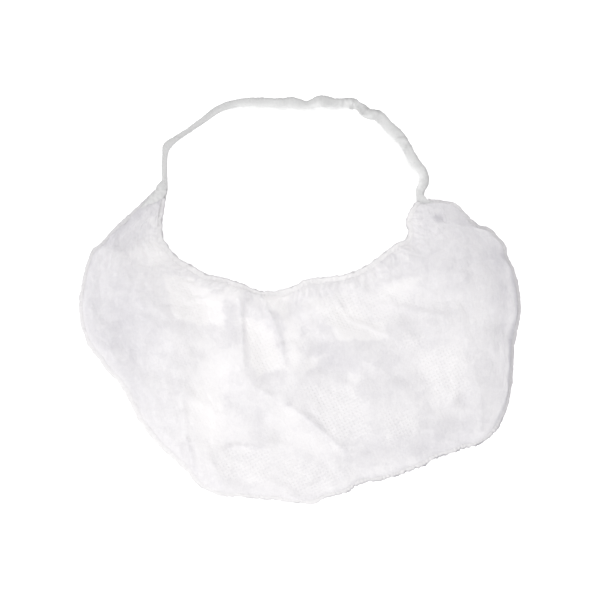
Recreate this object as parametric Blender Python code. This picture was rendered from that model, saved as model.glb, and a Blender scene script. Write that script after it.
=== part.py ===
"""A disposable beard net lying on a table.

A crescent pouch of two thin cloth layers is joined round its outer edge by a crimped seam. Its mouth
lies between two gathered hems, and an elastic strap runs in a loop from one corner to the other.
Metres, +Z up, +Y from the pouch towards the strap. The lower layer lies flat on z = 0.
"""

import math

import bmesh
import bpy
import numpy as np

# Mouth
MOUTH_WIDTH = 0.174
MOUTH_DEPTH = 0.063
MOUTH_GAPE = 0.012

# Cloth of the pouch, its reach sideways and down measured from the hem to the seam
SIDE_WIDTH = 0.075
DOWN_DEPTH = 0.145
CLOTH_WALL = 0.0012
PUFF_HEIGHT = 0.024
PUFF_ROUNDNESS = 0.85
UPRIGHT_REACH = 0.005

# Hems along the mouth
HEM_WIDTH = 0.0052
HEM_THICKNESS = 0.0018
HEM_GATHER = 0.0006
HEM_GATHERS = 23

# Seam round the outer edge
SEAM_WIDTH = 0.0028
SEAM_CURL = 0.0036
CURL_REACH = 0.038
UNDER_CURL_REACH = 0.028
SEAM_CRIMP = 0.0007
SEAM_CRIMPS = 23
TUCK_REACH = 0.003

# Folds of the upper layer and wrinkles of the lower one
FOLD_HEIGHT = 0.0055
FOLD_SPREAD = 0.0155
FOLD_MARGIN = 0.018
PLEAT_HEIGHT = 0.0016
PLEAT_REACH = 0.030
PLEATS = 14

# Strap
STRAP_RISE = 0.071
STRAP_WIDTH = 0.0075
STRAP_THICKNESS = 0.0016
STRAP_LIFT = 0.0045

# Space left between pieces that meet
CLEARANCE = 0.0003

# Fineness of the surfaces
STEPS_TO_A_SECTION = 3
STEPS_UNDER = 8
STEPS_OVER = 21
STEPS_TO_A_STRAP_ROW = 4

# One row for each section across the crescent, from the left corner round to the right one. Rim lengths
# are shares of half MOUTH_WIDTH and of MOUTH_DEPTH, the reach from hem to seam of SIDE_WIDTH and of
# DOWN_DEPTH. Puff, gape and curl are shares of PUFF_HEIGHT, MOUTH_GAPE and SEAM_CURL.
SECTION_COLUMNS = "rim_across rim_down reach_across reach_down puff gape curl"
SECTIONS = (
    (-0.97, 0.00, 0.005, -0.02, 0.00, 0.00, 0.3),
    (-1.00, 0.25, -0.19, -0.02, 0.36, 0.10, 0.6),
    (-0.98, 0.45, -0.435, -0.015, 0.62, 0.25, 0.3),
    (-0.88, 0.63, -0.73, 0.01, 0.84, 0.45, 0.7),
    (-0.765, 0.725, -0.94, 0.14, 0.98, 0.62, 0.9),
    (-0.64, 0.82, -1.01, 0.29, 1.00, 0.75, 0.4),
    (-0.515, 0.855, -0.905, 0.43, 0.88, 0.86, 0.1),
    (-0.39, 0.91, -0.80, 0.63, 0.76, 0.94, 0.4),
    (-0.255, 0.99, -0.645, 0.765, 0.68, 1.00, 0.1),
    (-0.13, 1.00, -0.51, 0.895, 0.66, 1.00, 0.4),
    (0.005, 0.957, -0.245, 0.94, 0.68, 1.00, 0.1),
    (0.13, 0.876, 0.03, 0.995, 0.72, 0.99, 0.6),
    (0.255, 0.85, 0.225, 0.945, 0.70, 0.96, 0.9),
    (0.395, 0.83, 0.465, 0.885, 0.74, 0.92, 0.3),
    (0.53, 0.773, 0.70, 0.82, 0.82, 0.85, 0.7),
    (0.645, 0.68, 0.92, 0.805, 0.90, 0.76, 1.0),
    (0.75, 0.568, 0.995, 0.73, 0.97, 0.64, 0.5),
    (0.835, 0.48, 0.98, 0.56, 1.00, 0.52, 0.2),
    (0.90, 0.443, 0.95, 0.34, 1.00, 0.40, 0.4),
    (0.925, 0.357, 0.865, 0.21, 0.94, 0.30, 0.6),
    (0.908, 0.25, 0.755, 0.095, 0.82, 0.20, 0.6),
    (0.93, 0.15, 0.515, 0.05, 0.62, 0.12, 0.4),
    (0.965, 0.076, 0.30, -0.015, 0.40, 0.05, 0.5),
    (1.00, 0.022, 0.035, -0.015, 0.00, 0.00, 0.3),
)

# One row for each bulge or notch of the seam: the section it is at, its push outwards as a share
# of TUCK_REACH, and how many sections it spreads over.
TUCK_COLUMNS = "at push spread"
TUCKS = (
    (2.6, 0.40, 0.25),
    (5.7, 0.65, 0.25),
    (8.55, 0.40, 0.22),
    (9.4, -0.35, 0.25),
    (11.4, -0.70, 0.25),
    (12.35, -0.90, 0.30),
    (13.5, 0.35, 0.25),
    (14.6, -0.50, 0.30),
    (19.45, -0.55, 0.22),
    (20.45, 0.65, 0.20),
)

# One row for each fold of the upper layer, a straight crest or dent in plan between two places. A place
# is the section it is at and its share of the way from the hem to the seam. Rise is a share of
# FOLD_HEIGHT and spread of FOLD_SPREAD.
FOLD_COLUMNS = "from_at from_share to_at to_share rise spread"
FOLDS = (
    (7.6, 0.00, 9.1, 0.08, 1.00, 0.70),
    (9.1, 0.08, 10.2, 0.38, 1.00, 0.80),
    (8.7, 0.15, 9.5, 0.35, -0.80, 1.00),
    (6.8, 0.11, 8.9, 0.39, 0.90, 0.80),
    (5.9, 0.22, 7.0, 0.29, -0.80, 1.10),
    (9.2, 0.46, 10.4, 0.56, 0.70, 0.70),
    (10.4, 0.56, 12.1, 0.84, 0.90, 0.70),
    (10.3, 0.71, 11.0, 0.85, -0.70, 1.20),
    (7.4, 0.72, 8.3, 0.97, 0.60, 0.80),
    (7.9, 0.57, 8.7, 0.75, -0.90, 1.20),
    (8.8, 0.87, 9.8, 0.74, 0.55, 0.70),
    (11.8, 0.11, 12.5, 0.32, 0.80, 0.90),
    (13.0, 0.22, 14.8, 0.29, -0.60, 0.80),
    (12.4, 0.28, 16.0, 0.46, 0.80, 0.80),
    (13.1, 0.44, 12.8, 0.74, 0.60, 1.00),
    (14.8, 0.56, 15.0, 0.81, -0.80, 1.10),
    (15.8, 0.81, 15.2, 0.97, 0.70, 0.70),
    (17.8, 0.23, 18.1, 0.75, 0.60, 1.00),
    (18.7, 0.80, 16.7, 0.93, -0.55, 0.90),
    (3.1, 0.60, 6.1, 0.44, 0.80, 0.90),
    (4.3, 0.77, 6.2, 0.77, -0.60, 0.90),
    (5.7, 0.59, 6.8, 0.77, 0.55, 0.90),
)

# One row for each bend of the strap, from its left end to its right one. Across is a share of half
# MOUTH_WIDTH, rise of STRAP_RISE, width of STRAP_WIDTH and lift of STRAP_LIFT. Turn is in degrees.
STRAP_COLUMNS = "across rise width turn lift"
STRAP = (
    (-0.98, 0.12, 0.48, 10, 0.20),
    (-0.982, 0.28, 0.46, 25, 0.05),
    (-0.978, 0.42, 0.48, 30, 0.00),
    (-0.953, 0.505, 0.58, 15, 0.15),
    (-0.882, 0.582, 0.52, 30, 0.10),
    (-0.78, 0.668, 0.52, 30, 0.00),
    (-0.67, 0.764, 0.60, 15, 0.05),
    (-0.56, 0.86, 0.66, 10, 0.15),
    (-0.45, 0.909, 0.70, 5, 0.05),
    (-0.333, 0.933, 0.74, 5, 0.00),
    (-0.208, 0.928, 0.82, 0, 0.05),
    (-0.067, 0.918, 0.92, -5, 0.20),
    (0.09, 0.918, 0.98, 5, 0.05),
    (0.24, 0.933, 1.12, 20, 0.50),
    (0.365, 0.916, 0.92, 5, 0.10),
    (0.467, 0.913, 0.98, -25, 0.55),
    (0.537, 0.88, 1.14, 45, 0.90),
    (0.608, 0.817, 0.92, -20, 0.45),
    (0.686, 0.788, 0.84, 0, 0.10),
    (0.765, 0.688, 0.98, 0, 0.00),
    (0.835, 0.577, 1.00, 15, 0.20),
    (0.898, 0.49, 1.08, 30, 0.60),
    (0.961, 0.356, 0.92, 5, 0.10),
    (1.027, 0.245, 0.84, -25, 0.40),
    (1.043, 0.154, 0.90, 10, 0.25),
    (1.02, 0.07, 0.66, 0, 0.20),
)

# Outlines of the swept pieces, as shares across and up: a hem's from the mouth outwards, the seam's
# from the cloth outwards, and the strap's about its middle
HEM_PROFILE = ((0.0, 0.5), (0.18, 0.0), (1.0, 0.0), (1.0, 1.0), (0.18, 1.0))
SEAM_PROFILE = ((0.0, 0.0), (0.7, 0.0), (1.0, 0.5), (0.7, 1.0), (0.0, 1.0))
STRAP_PROFILE = ((-0.5, 0.0), (-0.3, -0.5), (0.3, -0.5), (0.5, 0.0), (0.3, 0.5), (-0.3, 0.5))

SMOOTH_BELOW = math.radians(50)


def through(rows, steps):
    """Smooth curves through the rows of a table, Catmull-Rom cubics with some steps to each row."""
    row = np.array(rows, float)
    padded = np.vstack([2 * row[0] - row[1], row, 2 * row[-1] - row[-2]])
    before, here, there, after = (padded[i : i + len(row) - 1, None, :] for i in range(4))
    t = (np.arange(steps) / steps)[None, :, None]
    curve = 0.5 * (
        2 * here
        + (there - before) * t
        + (2 * before - 5 * here + 4 * there - after) * t**2
        + (3 * here - before - 3 * there + after) * t**3
    )
    return np.vstack([curve.reshape(-1, row.shape[1]), row[-1:]])


def columns(names, values):
    """The columns of a table by name."""
    return dict(zip(names.split(), np.array(values, float).T))


def ease(x):
    """0 up to 0, 1 from 1 on, and a smooth rise between them."""
    x = np.clip(x, 0, 1)
    return x * x * (3 - 2 * x)


def aside(path):
    """The unit vectors level with a path and square to it, on its right-hand side."""
    along = np.gradient(path, axis=0)
    along /= np.linalg.norm(along, axis=1)[:, None]
    return np.stack([along[:, 1], -along[:, 0]], axis=1)


def normals(grid):
    """The upward unit normals of a grid of points, turned upright towards the hem and the seam."""
    normal = np.cross(np.gradient(grid, axis=1), np.gradient(grid, axis=0))
    normal /= np.linalg.norm(normal, axis=2)[:, :, None]
    tilt = ease(np.minimum(*spans(grid)) / UPRIGHT_REACH)[:, :, None]
    normal = normal * tilt + np.array((0, 0, 1)) * (1 - tilt)
    return normal / np.linalg.norm(normal, axis=2)[:, :, None]


def outline():
    """The crescent in plan: the rim of the mouth, both edges of the cloth, and the sections' columns."""
    s = columns(SECTION_COLUMNS, through(SECTIONS, STEPS_TO_A_SECTION))
    rim = np.stack([MOUTH_WIDTH / 2 * s["rim_across"], -MOUTH_DEPTH * s["rim_down"]], axis=1)
    reach = np.stack([SIDE_WIDTH * s["reach_across"], -DOWN_DEPTH * s["reach_down"]], axis=1)
    start = rim + aside(rim) * (HEM_WIDTH + CLEARANCE)
    end = start + reach
    at = np.arange(len(end)) / STEPS_TO_A_SECTION
    tuck = columns(TUCK_COLUMNS, TUCKS)
    nearness = np.exp(-(((at[:, None] - tuck["at"]) / tuck["spread"]) ** 2))
    end += aside(end) * TUCK_REACH * (nearness @ tuck["push"])[:, None]
    for name in ("puff", "gape", "curl"):
        s[name] = np.clip(s[name], 0, None)
    return rim, start, end, s


def cloth_plan(start, end, v):
    """The cloth in plan, a grid with straight lines from beside the hem to beside the seam, with its
    points at some shares of the way."""
    return start[:, None] + (end - start)[:, None] * v[:, None]


def on_cloth(start, end, at, share):
    """The point in plan at a section and at a share of the way from the hem to the seam."""
    number = np.arange(len(start)) / STEPS_TO_A_SECTION
    near = np.array([np.interp(at, number, start[:, axis]) for axis in (0, 1)])
    far = np.array([np.interp(at, number, end[:, axis]) for axis in (0, 1)])
    return near + (far - near) * share


def spans(plan):
    """How far the cloth's points in plan lie from the hem and from the seam."""
    from_hem = np.linalg.norm(plan - plan[:, :1], axis=2)
    from_seam = np.linalg.norm(plan - plan[:, -1:], axis=2)
    return from_hem, from_seam


def seam_lift(s, from_seam, reach):
    """How far the seam lifts the cloth off the table: its curl, which fades out over a reach."""
    return SEAM_CURL * s["curl"][:, None] * ease(1 - from_seam / reach)


def fold_field(plan):
    """The height of all folds at the cloth's points in plan: each is a crest that fades with the square
    of the distance from its line."""
    x = plan[..., 0]
    y = plan[..., 1]
    height = np.zeros(x.shape)
    for row in FOLDS:
        f = dict(zip(FOLD_COLUMNS.split(), row))
        first = on_cloth(plan[:, 0], plan[:, -1], f["from_at"], f["from_share"])
        run = on_cloth(plan[:, 0], plan[:, -1], f["to_at"], f["to_share"]) - first
        share = np.clip(((x - first[0]) * run[0] + (y - first[1]) * run[1]) / (run @ run), 0, 1)
        far = np.hypot(x - first[0] - share * run[0], y - first[1] - share * run[1])
        height += f["rise"] * FOLD_HEIGHT * np.exp(-((far / (f["spread"] * FOLD_SPREAD)) ** 2))
    return height


def with_height(plan, z):
    """Points in plan with their heights."""
    return np.concatenate([plan, z[..., None]], axis=2)


def hem_base(s, upper):
    """The height of a hem's underside: the table, or above the lower hem by the mouth's gape."""
    if not upper:
        return np.zeros(len(s["gape"]))
    return HEM_THICKNESS + CLEARANCE + MOUTH_GAPE * s["gape"]


def pleat_field(plan, s):
    """The height of the pleats, which rise beside the hem and run out into the cloth."""
    from_hem, _ = spans(plan)
    wave = np.sin(math.pi * PLEATS * np.linspace(0, 1, len(plan)))[:, None] ** 2
    fade = ease(from_hem / HEM_WIDTH) * ease(1 - from_hem / PLEAT_REACH)
    return PLEAT_HEIGHT * wave * fade * s["gape"][:, None]


def lower_cloth(start, end, s):
    """Both faces of the lower layer: flat on the table, with pleats that rise from it at the mouth and
    a curled outer edge."""
    v = (1 - np.cos(math.pi * np.linspace(0, 1, STEPS_UNDER + 1))) / 2
    plan = cloth_plan(start, end, v)
    _, from_seam = spans(plan)
    lift = seam_lift(s, from_seam, UNDER_CURL_REACH)
    under = with_height(plan, lift + pleat_field(plan, s))
    return under, under + np.array((0, 0, CLOTH_WALL))


def upper_cloth(start, end, s):
    """Both faces of the upper layer: a dome from the upper hem to the seam, lower where the crescent
    is narrow, with its folds."""
    v = np.linspace(0, 1, STEPS_OVER + 1)
    plan = cloth_plan(start, end, v)
    from_hem, from_seam = spans(plan)
    width = from_hem[:, -1]
    puff = PUFF_HEIGHT * s["puff"] * width / (width + PUFF_HEIGHT)
    seat = seam_lift(s, from_seam, CURL_REACH) + CLOTH_WALL + CLEARANCE
    at_hem = hem_base(s, True) + (HEM_THICKNESS - CLOTH_WALL) / 2 - CLOTH_WALL - CLEARANCE
    dome = puff[:, None] * np.sin(math.pi * v) ** PUFF_ROUNDNESS
    inner = ease(from_hem / FOLD_MARGIN) * ease(from_seam / FOLD_MARGIN)
    z = seat + at_hem[:, None] * (1 - v) ** 2 + dome
    z = z + fold_field(plan) * inner + pleat_field(plan, s)
    floor = seat + (CLEARANCE + PLEAT_HEIGHT) * inner
    under = with_height(plan, np.maximum(z, floor))
    return under, under + CLOTH_WALL * normals(under)


def shell_mesh(under, over):
    """A closed wall between two grids of points: both faces and the strip round their edges."""
    rows, across = under.shape[:2]
    number = np.arange(rows * across).reshape(rows, across)
    quads = np.stack([number[:-1, :-1], number[:-1, 1:], number[1:, 1:], number[1:, :-1]], axis=-1)
    quads = quads.reshape(-1, 4)
    ring = np.concatenate(
        [number[0, :-1], number[:-1, -1], number[-1, :0:-1], number[:0:-1, 0]]
    )
    past = np.roll(ring, -1)
    top = rows * across
    strip = np.stack([ring, past, past + top, ring + top], axis=1)
    points = np.concatenate([under.reshape(-1, 3), over.reshape(-1, 3)])
    return points, np.concatenate([quads, quads[:, ::-1] + top, strip]).tolist()


def sweep_mesh(rings):
    """A closed tube through rings of points, with a flat cap at each end."""
    count, sides = rings.shape[:2]
    number = np.arange(count * sides).reshape(count, sides)
    turned = np.roll(number, -1, axis=1)
    quads = np.stack([number[:-1], turned[:-1], turned[1:], number[1:]], axis=-1).reshape(-1, 4)
    caps = [number[0, ::-1].tolist(), number[-1].tolist()]
    return rings.reshape(-1, 3), quads.tolist() + caps


def hem_rings(rim, s, upper):
    """The rings of a hem: its profile from the rim outwards, with gathers that pull the mouth's edge
    back and swell the top."""
    beside = aside(rim)
    wave = np.sin(math.pi * HEM_GATHERS * np.linspace(0, 1, len(rim))) ** 2
    gather = HEM_GATHER * wave * np.sqrt(s["gape"])
    base = hem_base(s, upper)
    rings = []
    for across, up in HEM_PROFILE:
        out = HEM_WIDTH * across + gather * (1 - across)
        z = base + HEM_THICKNESS * up + gather * (up == 1.0) * (across < 1.0)
        rings.append(np.column_stack([rim + beside * out[:, None], z]))
    return np.stack(rings, axis=1)


def seam_rings(end, s):
    """The rings of the seam: its profile from beside the cloth outwards, with a crimped outer edge."""
    beside = aside(end)
    wave = np.sin(math.pi * SEAM_CRIMPS * np.linspace(0, 1, len(end))) ** 2
    base = SEAM_CURL * s["curl"]
    thick = 2 * CLOTH_WALL + CLEARANCE
    rings = []
    for across, up in SEAM_PROFILE:
        out = CLEARANCE + SEAM_WIDTH * across - SEAM_CRIMP * wave * (across == 1.0)
        rings.append(np.column_stack([end + beside * out[:, None], base + thick * up]))
    return np.stack(rings, axis=1)


def strap_end(rim, last):
    """Where the strap's end faces the hems: a clearance past the corner, in line with the hems."""
    corner, before = (rim[-1], rim[-2]) if last else (rim[0], rim[1])
    along = (corner - before) / np.linalg.norm(corner - before)
    side = aside(rim)[-1 if last else 0]
    return corner + along * CLEARANCE + side * HEM_WIDTH / 2, along


def strap_rings(rim):
    """The rings of the strap: its profile turned about the path, resting on the table or lifted."""
    first, first_way = strap_end(rim, False)
    final, final_way = strap_end(rim, True)
    rows = np.array(STRAP, float)
    rows[:, 0] *= MOUTH_WIDTH / 2
    rows[:, 1] *= STRAP_RISE
    at_hem = HEM_WIDTH / STRAP_WIDTH
    rows = [(*first, at_hem, 0, rows[0, 4]), *rows, (*final, at_hem, 0, rows[-1, 4])]
    s = columns(STRAP_COLUMNS, through(rows, STEPS_TO_A_STRAP_ROW))
    path = np.stack([s["across"], s["rise"]], axis=1)
    beside = aside(path)
    beside[0] = (first_way[1], -first_way[0])
    beside[-1] = (-final_way[1], final_way[0])
    turn = np.radians(s["turn"])
    wide = STRAP_WIDTH * s["width"]
    tall = np.abs(wide * np.sin(turn)) + STRAP_THICKNESS * np.cos(turn)
    middle = tall / 2 + STRAP_LIFT * np.clip(s["lift"], 0, None)
    rings = []
    for across, up in STRAP_PROFILE:
        level = across * wide * np.cos(turn) - up * STRAP_THICKNESS * np.sin(turn)
        z = middle + across * wide * np.sin(turn) + up * STRAP_THICKNESS * np.cos(turn)
        rings.append(np.column_stack([path + beside * level[:, None], z]))
    return np.stack(rings, axis=1)


def finish(name, colour, roughness):
    """A plain material of one colour."""
    material = bpy.data.materials.new(name)
    material.use_nodes = True
    shader = material.node_tree.nodes["Principled BSDF"]
    shader.inputs["Base Color"].default_value = (*colour, 1)
    shader.inputs["Roughness"].default_value = roughness
    shader.inputs["Metallic"].default_value = 0.0
    return material


def add_piece(name, points, faces, material, parent):
    """A named object with outward faces, hung on the net's own empty."""
    mesh = bpy.data.meshes.new(name)
    mesh.from_pydata(points.tolist(), [], faces)
    work = bmesh.new()
    work.from_mesh(mesh)
    bmesh.ops.recalc_face_normals(work, faces=work.faces)
    work.to_mesh(mesh)
    work.free()
    mesh.shade_smooth()
    mesh.set_sharp_from_angle(angle=SMOOTH_BELOW)
    mesh.materials.append(material)
    piece = bpy.data.objects.new(name, mesh)
    piece.parent = parent
    bpy.context.scene.collection.objects.link(piece)


def clear_scene():
    for old in list(bpy.data.objects):
        bpy.data.objects.remove(old, do_unlink=True)


def build():
    clear_scene()
    rim, start, end, s = outline()
    bodies = {
        "front_panel": (shell_mesh(*upper_cloth(start, end, s)), (0.90, 0.90, 0.92), 0.75),
        "back_panel": (shell_mesh(*lower_cloth(start, end, s)), (0.88, 0.88, 0.90), 0.75),
        "edge_seam": (sweep_mesh(seam_rings(end, s)), (0.78, 0.78, 0.80), 0.60),
        "front_hem": (sweep_mesh(hem_rings(rim, s, True)), (0.84, 0.84, 0.86), 0.80),
        "back_hem": (sweep_mesh(hem_rings(rim, s, False)), (0.82, 0.82, 0.84), 0.80),
        "head_strap": (sweep_mesh(strap_rings(rim)), (0.74, 0.74, 0.76), 0.85),
    }
    every = np.concatenate([points for (points, _), _, _ in bodies.values()])
    middle = (every.min(axis=0) + every.max(axis=0)) / 2
    net = bpy.data.objects.new("beard_net", None)
    net.location = (-middle[0], -middle[1], 0)
    bpy.context.scene.collection.objects.link(net)
    for name, ((points, faces), colour, roughness) in bodies.items():
        add_piece(name, points, faces, finish(name, colour, roughness), net)
    bpy.context.view_layer.update()


build()
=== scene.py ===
"""Looks of a disposable beard net that lies on a white table.

Two layers of thin non-woven cloth form a crescent pouch, joined round the outer edge by a welded seam.
The mouth lies between two gathered hems, and a strap loops from one corner to the other. Metres, in the
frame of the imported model: +X to the right, +Y from the pouch towards the strap, +Z up from the table.
"""

import math

import bpy
import numpy as np
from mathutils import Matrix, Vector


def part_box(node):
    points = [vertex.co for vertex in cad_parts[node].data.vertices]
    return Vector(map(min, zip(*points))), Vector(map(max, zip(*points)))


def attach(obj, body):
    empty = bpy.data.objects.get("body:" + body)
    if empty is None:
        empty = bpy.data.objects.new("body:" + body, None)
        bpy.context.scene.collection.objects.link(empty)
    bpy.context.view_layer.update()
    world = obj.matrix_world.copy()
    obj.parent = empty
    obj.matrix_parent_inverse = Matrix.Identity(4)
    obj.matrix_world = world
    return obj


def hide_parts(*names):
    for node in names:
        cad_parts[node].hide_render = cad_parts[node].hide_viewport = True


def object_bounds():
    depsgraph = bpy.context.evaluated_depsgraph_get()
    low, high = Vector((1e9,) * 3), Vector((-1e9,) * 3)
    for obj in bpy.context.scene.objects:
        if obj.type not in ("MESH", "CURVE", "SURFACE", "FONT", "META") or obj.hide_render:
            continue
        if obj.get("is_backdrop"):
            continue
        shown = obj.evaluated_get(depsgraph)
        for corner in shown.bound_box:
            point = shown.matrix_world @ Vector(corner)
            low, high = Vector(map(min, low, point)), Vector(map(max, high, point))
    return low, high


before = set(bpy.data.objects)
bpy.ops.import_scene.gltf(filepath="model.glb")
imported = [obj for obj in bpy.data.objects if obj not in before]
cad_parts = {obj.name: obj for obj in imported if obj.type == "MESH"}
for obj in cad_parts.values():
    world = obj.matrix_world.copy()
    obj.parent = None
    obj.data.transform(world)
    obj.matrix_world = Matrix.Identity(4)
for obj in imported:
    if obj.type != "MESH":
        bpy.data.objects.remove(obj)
cad_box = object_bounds()

# Sizes of the net, the same as in the model's source. A few folds are softer here, and the strap's
# line is finer.
MOUTH_WIDTH = 0.174
MOUTH_DEPTH = 0.063
MOUTH_GAPE = 0.012
SIDE_WIDTH = 0.075
DOWN_DEPTH = 0.145
CLOTH_WALL = 0.0012
PUFF_HEIGHT = 0.024
PUFF_ROUNDNESS = 0.85
HEM_WIDTH = 0.0052
HEM_THICKNESS = 0.0018
SEAM_WIDTH = 0.0028
SEAM_CURL = 0.0036
CURL_REACH = 0.038
UNDER_CURL_REACH = 0.028
TUCK_REACH = 0.003
FOLD_HEIGHT = 0.0055
FOLD_SPREAD = 0.0155
FOLD_MARGIN = 0.018
PLEAT_HEIGHT = 0.0016
PLEAT_REACH = 0.030
PLEATS = 14
STRAP_RISE = 0.071
STRAP_WIDTH = 0.0075
STRAP_THICKNESS = 0.0016
STRAP_LIFT = 0.0045
CLEARANCE = 0.0003

# Steps to each row of a table in the model's source. Here, for each trim, the same and the points round
# its tube.
COARSE_STEPS = 3
HEM_STEPS, HEM_SIDES = 48, 22
SEAM_STEPS, SEAM_SIDES = 60, 14
STRAP_STEPS, STRAP_SIDES = 44, 28
FLAP_STEPS, FLAP_SIDES = 30, 18
END_STEPS, END_SIDES = 16, 16

# Rows from the left corner round to the right one: shares of half MOUTH_WIDTH, MOUTH_DEPTH, SIDE_WIDTH,
# DOWN_DEPTH, PUFF_HEIGHT, MOUTH_GAPE and SEAM_CURL
SECTION_COLUMNS = "rim_across rim_down reach_across reach_down puff gape curl"
SECTIONS = (
    (-0.97, 0, 0.005, -0.02, 0, 0, 0.3),
    (-1, 0.25, -0.19, -0.02, 0.36, 0.1, 0.6),
    (-0.98, 0.45, -0.435, -0.015, 0.62, 0.25, 0.3),
    (-0.88, 0.63, -0.73, 0.01, 0.84, 0.45, 0.7),
    (-0.765, 0.725, -0.94, 0.14, 0.98, 0.62, 0.9),
    (-0.64, 0.82, -1.01, 0.29, 1, 0.75, 0.4),
    (-0.515, 0.855, -0.905, 0.43, 0.88, 0.86, 0.1),
    (-0.39, 0.91, -0.8, 0.63, 0.76, 0.94, 0.4),
    (-0.255, 0.99, -0.645, 0.765, 0.68, 1, 0.1),
    (-0.13, 1, -0.51, 0.895, 0.66, 1, 0.4),
    (0.005, 0.957, -0.245, 0.94, 0.68, 1, 0.1),
    (0.13, 0.876, 0.03, 0.995, 0.72, 0.99, 0.6),
    (0.255, 0.85, 0.225, 0.945, 0.7, 0.96, 0.9),
    (0.395, 0.83, 0.465, 0.885, 0.74, 0.92, 0.3),
    (0.53, 0.773, 0.7, 0.82, 0.82, 0.85, 0.7),
    (0.645, 0.68, 0.92, 0.805, 0.9, 0.76, 1),
    (0.75, 0.568, 0.995, 0.73, 0.97, 0.64, 0.5),
    (0.835, 0.48, 0.98, 0.56, 1, 0.52, 0.2),
    (0.9, 0.443, 0.95, 0.34, 1, 0.4, 0.4),
    (0.925, 0.357, 0.865, 0.21, 0.94, 0.3, 0.6),
    (0.908, 0.25, 0.755, 0.095, 0.82, 0.2, 0.6),
    (0.93, 0.15, 0.515, 0.05, 0.62, 0.12, 0.4),
    (0.965, 0.076, 0.3, -0.015, 0.4, 0.05, 0.5),
    (1, 0.022, 0.035, -0.015, 0, 0, 0.3),
)

# Bulges and notches of the seam: section, push as a share of TUCK_REACH, sections spread over
TUCK_COLUMNS = "at push spread"
TUCKS = (
    (2.6, 0.4, 0.25),
    (5.7, 0.65, 0.25),
    (8.55, 0.4, 0.22),
    (9.4, -0.35, 0.25),
    (11.4, -0.7, 0.25),
    (12.35, -0.9, 0.3),
    (13.5, 0.35, 0.25),
    (14.6, -0.5, 0.3),
    (19.45, -0.55, 0.22),
    (20.45, 0.65, 0.2),
)

# Broad folds of the upper layer between two places, each a section and a share of the way from the hem
# to the seam. Rise is a share of FOLD_HEIGHT and spread of FOLD_SPREAD.
FOLD_COLUMNS = "from_at from_share to_at to_share rise spread"
FOLDS = (
    (7.6, 0, 9.1, 0.08, 1, 0.7),
    (9.1, 0.08, 10.2, 0.38, 0.75, 0.8),
    (8.7, 0.15, 9.5, 0.35, -0.5, 1),
    (6.8, 0.11, 8.9, 0.39, 0.9, 0.8),
    (5.9, 0.22, 7, 0.29, -0.8, 1.1),
    (9.2, 0.46, 10.4, 0.56, 0.3, 0.9),
    (10.4, 0.56, 12.1, 0.84, 0.15, 0.8),
    (10.3, 0.71, 11, 0.85, -0.35, 1.2),
    (7.4, 0.72, 8.3, 0.97, 0.6, 0.8),
    (7.9, 0.57, 8.7, 0.75, -0.9, 1.2),
    (8.8, 0.87, 9.8, 0.74, 0.55, 0.7),
    (11.8, 0.11, 12.5, 0.32, 0.8, 0.9),
    (13, 0.22, 14.8, 0.29, -0.6, 0.8),
    (12.4, 0.28, 16, 0.46, 0.55, 0.9),
    (13.1, 0.44, 12.8, 0.74, 0.6, 1),
    (14.8, 0.56, 15, 0.81, -0.8, 1.1),
    (15.8, 0.81, 15.2, 0.97, 0.7, 0.7),
    (17.8, 0.23, 18.1, 0.75, 0.6, 1),
    (18.7, 0.8, 16.7, 0.93, -0.55, 0.9),
    (3.1, 0.6, 6.1, 0.44, 0.8, 0.9),
    (4.3, 0.77, 6.2, 0.77, -0.6, 0.9),
    (5.7, 0.59, 6.8, 0.77, 0.55, 0.9),
)

# Sharp creases of the upper layer between two places, narrow ridges that also get painted shade lines.
# Rise is a share of CREASE_HEIGHT, and the last column is the painted shade as a share of the deepest
# line.
CREASE_HEIGHT = 0.0016
CREASE_SPREAD = 0.0011
CREASE_COLUMNS = "from_at from_share to_at to_share rise dark"
CREASES = (
    (7.6, 0, 8.4, 0.01, 0.8, 0.8),
    (8.4, 0.01, 9.05, 0.085, 1, 0.9),
    (9.05, 0.085, 9.9, 0.25, 0.8, 0.4),
    (9.9, 0.25, 10.1, 0.355, 0.7, 0.3),
    (7.5, 0.065, 8.7, 0.36, 0.8, 0.7),
    (9.2, 0.45, 10.3, 0.54, 0.4, 0.2),
    (10.3, 0.54, 10.9, 0.605, 0.6, 0.6),
    (10.9, 0.605, 12.05, 0.82, 0.8, 0.9),
    (7.45, 0.72, 7.9, 0.875, 0.7, 0.5),
    (7.9, 0.875, 8.35, 0.975, 0.8, 0.6),
    (8.7, 0.875, 9, 0.76, 0.6, 0.4),
    (9, 0.76, 9.8, 0.75, 0.6, 0.4),
    (14.3, 0.175, 16.3, 0.425, 0.3, 0.12),
    (13.9, 0.295, 15.8, 0.39, 0.3, 0.15),
    (15.75, 0.835, 15.2, 0.955, 0.9, 0.6),
    (12.2, 0.02, 12.9, 0.2, 0.6, 0.4),
    (12.9, 0.2, 14, 0.33, 0.6, 0.5),
    (18.5, 0.87, 17, 0.935, 0.5, 0.6),
    (17, 0.935, 16.4, 0.93, 0.5, 0.4),
)
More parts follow.
